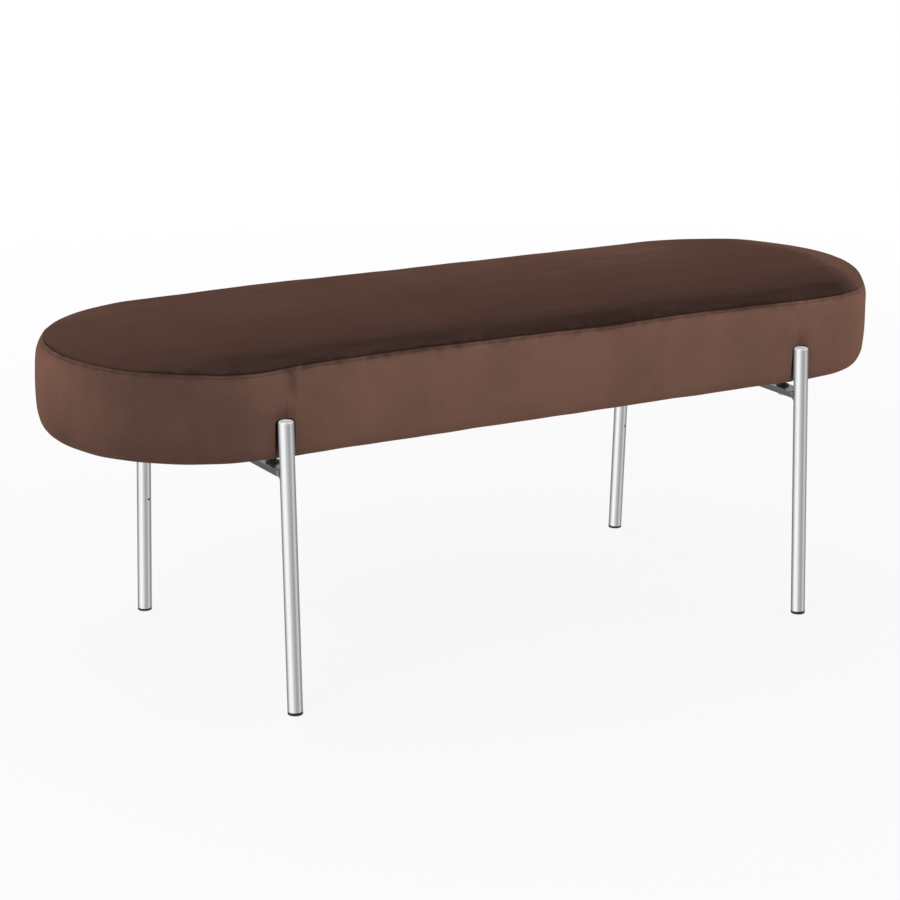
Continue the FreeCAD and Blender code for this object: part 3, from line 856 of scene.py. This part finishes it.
def metal(name, dark, light, roughness, streak, grain):
    """Metal with drawn lines along Z and fine pits."""
    finish = Finish(name, Metallic=1.0)
    lines = finish.noise(260.0, 3.0, (1, 1, 0.03))
    clouds = finish.noise(14.0, 3.0)
    shade = finish.plus(finish.ripple(lines, streak), finish.ripple(clouds, 0.08))
    rub = finish.plus(finish.ripple(lines, 0.10), finish.ripple(clouds, 0.06))
    finish.set(Base_Color=finish.ramp(finish.clamped(shade, 0.5), [(0.0, dark), (1.0, light)]),
               Roughness=finish.clamped(rub, roughness), Normal=finish.bump(finish.noise(900.0), grain))
    return finish.material


def rubbery(name, dark, light, roughness, grain):
    """Black rubber or moulded plastic with a fine grain and a bloom on it."""
    finish = Finish(name)
    bloom = finish.noise(70.0, 4.0)
    finish.set(Base_Color=finish.ramp(bloom, [(0.3, dark), (0.7, light)]),
               Roughness=finish.plus(finish.ripple(bloom, 0.2), roughness),
               Normal=finish.bump(finish.noise(700.0, 3.0), grain))
    return finish.material


def weld_metal():
    """Bright plated weld, with the ripples of its bead."""
    finish = Finish("weld_metal", Metallic=1.0, Roughness=0.38)
    finish.set(Base_Color=finish.ramp(finish.noise(120.0, 3.0), [(0.2, "6b6d6f"), (0.8, "8f9193")]),
               Normal=finish.bump(finish.bands(210.0, 2.5, "X"), weld_ripple))
    return finish.material


def plywood():
    """Birch plywood: plies on the edge, long grain on the faces."""
    finish = Finish("plywood", Roughness=0.6)
    grain = finish.noise(24.0, 6.0, (0.4, 7, 7), 0.8)
    wood = finish.ramp(grain, [(0.25, "b98f5e"), (0.75, "dcbd8e")])
    edge = finish.ramp(finish.bands(90.0, 0.6, "Z"), [(0.3, "8f6a42"), (0.7, "d8b888")])
    finish.set(Base_Color=finish.mix(0.35, wood, edge), Normal=finish.bump(grain, plywood_grain))
    return finish.material


def nonwoven(name, dark, light, pit_scale, depth):
    """Bonded cloth: a grid of pressed points over matted fibres."""
    finish = Finish(name, Roughness=0.95, Sheen_Weight=0.15)
    inputs = {"Vector": finish.place, "Scale": pit_scale, "Randomness": 0.15}
    pits = finish.add("ShaderNodeTexVoronoi", inputs).outputs[0]
    fibres = finish.noise(420.0, 5.0, (1, 2, 2), 1.5)
    finish.set(Base_Color=finish.ramp(fibres, [(0.3, dark), (0.75, light)]),
               Normal=finish.bump(pits, depth, finish.bump(fibres, 0.3 * depth)))
    return finish.material


def thread_finish():
    finish = Finish("sewing_thread", Roughness=0.7)
    twist = finish.noise(1800.0, 2.0, (1, 1, 2))
    finish.set(Base_Color=finish.ramp(twist, [(0.3, "3d2b25"), (0.8, "6a4c41")]),
               Normal=finish.bump(twist, thread_twist))
    return finish.material


# The same velvet in four materials, each with its own painted shade and sheen
VELVET = {
    "top": velvet("velvet_top", top_nap_and_shade, SHADED_TOP_STOPS, 0.05, ALONG, 1.0, 0.6),
    "straight": velvet("velvet_straight", straight_nap_and_shade, BAND_STOPS, 0.2, DOWN, 1.0, 1.2),
    "left_end": velvet("velvet_left_end", left_nap_and_shade, BAND_STOPS, 0.2, DOWN, 0.3, 0.7),
    "right_end": velvet("velvet_right_end", right_nap_and_shade, BAND_STOPS, 0.2, DOWN, 0.9, 1.2)}
CHROME = metal("satin_chrome", "eff0f1", "fafbfc", 0.13, 0.25, chrome_grain)
BAR_STEEL = metal("bar_steel", "7d7f82", "97999c", 0.30, 0.3, steel_grain)
ZINC = metal("zinc_steel", "9a9a90", "c6c6bd", 0.36, 0.2, steel_grain)
RUBBER = rubbery("spacer_rubber", "0c0c0c", "1c1c1c", 0.65, rubber_grain)
GLIDE = rubbery("glide_plastic", "141414", "262626", 0.5, glide_grain)


# Making pieces

def piece(name, points, faces, material, fields=None):
    """A smooth mesh piece from points and faces, without the points that no face uses.
    Fields are values for its material, by name, with one for each point."""
    corners = np.concatenate([np.ravel(face_set) for face_set in faces])
    used, packed = np.unique(corners, return_inverse=True)
    listed = []
    at = 0
    for face_set in faces:
        size = np.size(face_set)
        listed += packed[at:at + size].reshape(np.shape(face_set)).tolist()
        at += size
    mesh = bpy.data.meshes.new(name)
    mesh.from_pydata(points[used].tolist(), [], listed)
    mesh.validate()
    mesh.shade_smooth()
    for key, values in (fields or {}).items():
        mesh.attributes.new(key, "FLOAT", "POINT").data.foreach_set("value", values[used])
    mesh.materials.append(material)
    obj = place_object(name, mesh)
    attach(obj, BODY)
    return obj


def thicken(obj, thickness):
    """Gives a sheet its thickness, inwards."""
    solidify = obj.modifiers.new("thickness", "SOLIDIFY")
    solidify.thickness = thickness
    solidify.offset = -1
    return obj


def tube_faces(count, rings, sides):
    """Faces of a number of tubes, each of rings with so many sides: walls, start and end caps."""
    first = np.arange(count)[:, None, None] * rings * sides
    near = first + (np.arange(rings - 1) * sides)[:, None]
    side = np.arange(sides)
    after = (side + 1) % sides
    walls = np.stack([near + side, near + after, near + sides + after, near + sides + side], axis=-1)
    return [walls.reshape(-1, 4), first[:, 0] + side[::-1], first[:, 0] + (rings - 1) * sides + side]


def cover_panels():
    """The velvet top and the four pieces of its band. Gives the row of stitches and its directions out."""
    outline = Outline(column_step, column_fine)
    top_walk = graded(core_walk, 0, row_step, [(0, row_fine, row_reach)])
    spots = [(0, row_fine, row_reach), (leg_top_walk, leg_row_fine, leg_row_reach)]
    stitched = graded(0, topstitch_drop, row_step, spots)
    lower = graded(topstitch_drop, WALK[-1], row_step, spots)
    walk = np.concatenate([top_walk, stitched[1:], lower[1:]])
    seam_row = len(top_walk) - 1
    stitch_row = seam_row + len(stitched) - 1
    cover = Cover(outline, Rows.of_cover(walk, seam_slide(outline.place)))
    swell = cloth_swell(cover)
    shaped, hollow = shape_seat(cover, swell)
    sewn = sew_seams(cover, shaped)
    fields = {"below": cover.below, "hollow": hollow}
    top_faces = [cover.core_faces(), cover.ring_faces(0, seam_row)]
    top = thicken(piece("velvet_top", sewn, top_faces, VELVET["top"], fields), velvet_thickness)
    top.visible_glossy = False
    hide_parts("top_panel")
    q, s = outline.quarter, outline.seam
    for name, first, columns, finish in (("front", 4 * q - s, 2 * s, "straight"),
                                         ("right_end", s, 2 * q - 2 * s, "right_end"),
                                         ("back", 2 * q - s, 2 * s, "straight"),
                                         ("left_end", 2 * q + s, 2 * q - 2 * s, "left_end")):
        faces = [cover.ring_faces(seam_row, -1, first, columns)]
        band = piece("velvet_band_" + name, sewn, faces, VELVET[finish], fields)
        thicken(band, velvet_thickness)
        band.visible_glossy = False
        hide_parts("band_" + name)
    line = slice(stitch_row * cover.columns, (stitch_row + 1) * cover.columns)
    return sewn[line], cover.normals[line]


def seat_filling():
    """Foam and wadding in one closed, crowned form over the board."""
    outline = Outline(filling_column_step, filling_column_fine)
    spots = [(leg_top_walk, filling_row_fine, 3 * leg_row_reach)]
    walk = graded(core_walk, WALK[-1], filling_row_step, spots)
    filling = Cover(outline, Rows.of_filling(walk), filling_inset)
    shaped, _ = shape_seat(filling, extra=filling_inset)
    last = (filling.rows - 1) * filling.columns
    bottom = np.arange(last + filling.columns - 1, last - 1, -1)[None]
    faces = [filling.core_faces(), filling.ring_faces(), bottom]
    wadding = nonwoven("wadding", "cfcabf", "ece8de", 180.0, wadding_pit)
    obj = piece("seat_filling", shaped, faces, wadding)
    obj.visible_glossy = False
    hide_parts("foam_block", "wadding_layer")


def topstitching(path, normals):
    """A row of stitches that lie half sunk in the cloth along a closed path."""
    loop = closed(np.hstack([path, normals]))
    places = distances(loop[:, :3])
    count = round(places[-1] / stitch_pitch)
    rng = np.random.default_rng(8)
    stray = rng.uniform(-stitch_stray_share, stitch_stray_share, count)
    at = (np.arange(count) + stray) * places[-1] / count
    middle, out = np.split(read_loop(at, places, loop), 2, axis=1)
    along = read_loop(at + stitch_pitch / 4, places, loop[:, :3]) - middle
    along /= np.linalg.norm(along, axis=1)[:, None]
    tilt = np.linspace(-stitch_end, stitch_end, stitch_rings)[:, None]
    turn = np.arange(stitch_sides) * 2 * math.pi / stitch_sides
    shape = np.stack([np.sin(tilt) * stitch_length / 2 * np.ones(stitch_sides),
                      np.cos(tilt) * np.cos(turn) * stitch_width / 2,
                      np.cos(tilt) * np.sin(turn) * stitch_width / 2], axis=-1).reshape(-1, 3)
    points = middle[:, None] + shape @ np.stack([along, np.cross(out, along), out], axis=1)
    faces = tube_faces(count, stitch_rings, stitch_sides)
    piece("topstitching", points.reshape(-1, 3), faces, thread_finish())


def dust_sheet():
    """The dust cover, pulled tight with a folded hem, and a little slack between its staples."""
    radius = dust_high.y
    hem = radius - dust_hem
    out = np.concatenate([np.linspace(half_width - core_setback, hem - hem_near, 12),
                          np.linspace(hem - hem_fold, hem, 3), np.linspace(hem + hem_near, radius, 4)])
    level = np.zeros_like(out)
    sheet = Cover(Outline(dust_step, dust_step), Rows(out, level + dust_high.z, level, level + 1, level))
    x, y, _ = sheet.points.T
    past = np.hypot(np.maximum(np.abs(x) - end_centre, 0), y)
    at_bolt = np.hypot(np.abs(x) - leg_x, np.abs(y) - bolt_y)
    held = smooth(1 - past / hem) * smooth(at_bolt / bolt_clear)
    uneven = 1 - dust_slack_share + dust_slack_share * blotches(x, y, dust_lengths, 9)
    folded = velvet_thickness / 4 * smooth((past - hem) / hem_rise + 1)
    points = sheet.points.copy()
    points[:, 2] = dust_low.z - dust_sag * held * uneven - folded
    faces = [sheet.core_faces()[:, ::-1], sheet.ring_faces()[:, ::-1]]
    cloth = nonwoven("dust_cloth", "0e0e0f", "1d1d1e", 900.0, dust_cloth_pit)
    obj = thicken(piece("dust_cover_sheet", points, faces, cloth), dust_high.z - dust_low.z)
    obj.visible_glossy = False
    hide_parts("dust_cover")


def staples():
    """Wire staples round the underside, through the dust cover and the velvet into the board."""
    outline = Outline(column_step, column_fine)
    line = outline.out * (half_width - staple_setback)
    line[:, 0] += outline.spine
    loop = closed(line)
    places = distances(loop)
    count = round(places[-1] / staple_pitch)
    half, wire = staple_length / 2, staple_wire / 2
    level = dust_low.z - velvet_thickness / 4
    path = [(-half, 3 * wire), (-half, -wire), (-half + wire, -2 * wire),
            (half - wire, -2 * wire), (half, -wire), (half, 3 * wire)]
    corners = [(-wire, -wire / 2), (wire, -wire / 2), (wire, wire / 2), (-wire, wire / 2)]
    shape = np.array([(a + np.sign(a) * h * (z > 0), w, z + h * (z <= 0))
                      for a, z in path for w, h in corners])
    rng = np.random.default_rng(11)
    points = []
    for number in range(count):
        at = (number + rng.uniform(-staple_stray_share, staple_stray_share)) * places[-1] / count
        spot = read_loop(at, places, loop)
        if np.hypot(abs(spot[0]) - leg_x, abs(spot[1]) - bolt_y) < bolt_clear:
            continue
        out_x, out_y = outline.out[np.argmin(np.linalg.norm(line - spot, axis=1))]
        turn = rng.uniform(-staple_turn, staple_turn)
        along_x = -out_y * math.cos(turn) + out_x * math.sin(turn)
        along_y = out_x * math.cos(turn) + out_y * math.sin(turn)
        axes = [(along_x, along_y, 0), (-along_y, along_x, 0), (0, 0, 1)]
        points.append(shape @ axes + (*spot, level))
    faces = tube_faces(len(points), len(path), len(corners))
    obj = piece("staples", np.concatenate(points), faces, ZINC)
    obj.data.shade_flat()


def dress_frame():
    """Finishes of the pieces that keep the frame's own shape."""
    finishes = {"leg_tube": CHROME, "leg_cap": CHROME, "foot_glide": GLIDE, "cross_bar": BAR_STEEL,
                "weld_beads": weld_metal(), "seat_spacers": RUBBER, "bolt_washers": ZINC, "seat_bolts": ZINC,
                "t_nuts": ZINC, "seat_board": plywood()}
    for name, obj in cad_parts.items():
        for start, material in finishes.items():
            if name.startswith(start):
                for slot in obj.material_slots:
                    slot.material = material
    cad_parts["seat_board"].visible_glossy = False


# Camera, floor and light

def camera():
    data = bpy.data.cameras.new("camera")
    data.sensor_width = sensor_width
    data.lens = camera_focal_px / photo_px * sensor_width
    data.clip_end = view_depth
    obj = place_object("camera", data)
    sin_yaw, cos_yaw = math.sin(camera_yaw), math.cos(camera_yaw)
    level_share = math.cos(camera_pitch)
    ahead = Vector((sin_yaw * level_share, cos_yaw * level_share, -math.sin(camera_pitch)))
    level = Vector((cos_yaw, -sin_yaw, 0))
    upright = level.cross(ahead)
    right = level * math.cos(camera_roll) + upright * math.sin(camera_roll)
    up = upright * math.cos(camera_roll) - level * math.sin(camera_roll)
    turn = Matrix((right, up, -ahead)).transposed()
    obj.matrix_world = Matrix.Translation(camera_place) @ turn.to_4x4()
    bpy.context.scene.camera = obj


def stage_piece(name, points, faces, finish):
    """A mesh that stands round the bench and isn't part of it."""
    mesh = bpy.data.meshes.new(name)
    mesh.from_pydata(points, [], faces)
    mesh.materials.append(finish.material)
    obj = place_object(name, mesh)
    return obj


def floor():
    """Pale floor that shows white to the camera and keeps the bench's shadow."""
    finish = Finish("floor", Base_Color=(floor_grey, floor_grey, floor_grey, 1), Roughness=0.9)
    away = finish.add("ShaderNodeVectorMath", {0: finish.place}, operation="LENGTH").outputs["Value"]
    glow_share = finish.span(away, floor_near, floor_far, floor_glow_share, 1.0)
    shown = finish.times(shown_rays(finish.tree), glow_share)
    finish.blend(shown, finish.shader.outputs[0], finish.glow(1.0))
    half = floor_size / 2
    corners = [(-half, -half, 0), (half, -half, 0), (half, half, 0), (-half, half, 0)]
    stage_piece("floor", corners, [(0, 1, 2, 3)], finish).visible_glossy = False


def studio():
    """Soft grey room that is white to the camera, and in metal and glass."""
    world = bpy.data.worlds.new("studio")
    bpy.context.scene.world = world
    world.use_nodes = True
    tree = world.node_tree
    background = tree.nodes["Background"]
    background.inputs["Color"].default_value = WHITE
    level = add_node(tree, "ShaderNodeMapRange", {"Value": shown_rays(tree), "To Min": room_level})
    tree.links.new(level.outputs[0], background.inputs["Strength"])


def gauze():
    """Tent of grey gauze that only the metal mirrors, between it and the white room."""
    finish = Finish("gauze")
    camera_turn = math.atan2(camera_place[1], camera_place[0])
    turn = finish.maths("ARCTAN2", finish.axis("Y"), finish.axis("X"))
    lap = finish.maths("DIVIDE", finish.minus(turn, camera_turn - math.pi), 2 * math.pi)
    lap = finish.maths("FLOORED_MODULO", lap, 1.0)
    high = finish.span(finish.axis("Z"), 0.0, GAUZE_PROFILE[-1][1])
    thick = finish.times(finish.ramp(lap, [(0.5 + degrees / 360, share) for degrees, share in GAUZE_SHARES]),
                         finish.ramp(high, GAUZE_HIGH_SHARES))
    finish.blend(thick, finish.add("ShaderNodeBsdfTransparent").outputs[0], finish.glow(gauze_level))
    turns = np.arange(gauze_sides) * 2 * math.pi / gauze_sides
    points = [(radius * math.cos(a), radius * math.sin(a), height) for radius, height in GAUZE_PROFILE
              for a in turns]
    walls = tube_faces(1, len(GAUZE_PROFILE), gauze_sides)[0].tolist()
    obj = stage_piece("gauze", points, walls, finish)
    obj.visible_camera = obj.visible_diffuse = obj.visible_transmission = obj.visible_shadow = False


def lamp(name, place, watts):
    """Soft square lamp aimed at the seat, which the chrome doesn't mirror."""
    data = bpy.data.lights.new(name, "AREA")
    data.size = lamp_size
    data.energy = watts
    obj = place_object(name, data)
    obj.location = place
    aim = Vector((0, 0, underside)) - Vector(place)
    obj.rotation_euler = aim.to_track_quat("-Z", "Y").to_euler()
    obj.visible_glossy = False


stitch_path, stitch_normals = cover_panels()
seat_filling()
topstitching(stitch_path, stitch_normals)
dust_sheet()
staples()
dress_frame()
camera()
floor()
studio()
gauze()
for lamp_name, lamp_place, lamp_watts in LAMPS:
    lamp(lamp_name, lamp_place, lamp_watts)
bpy.context.scene.view_settings.view_transform = "Standard"
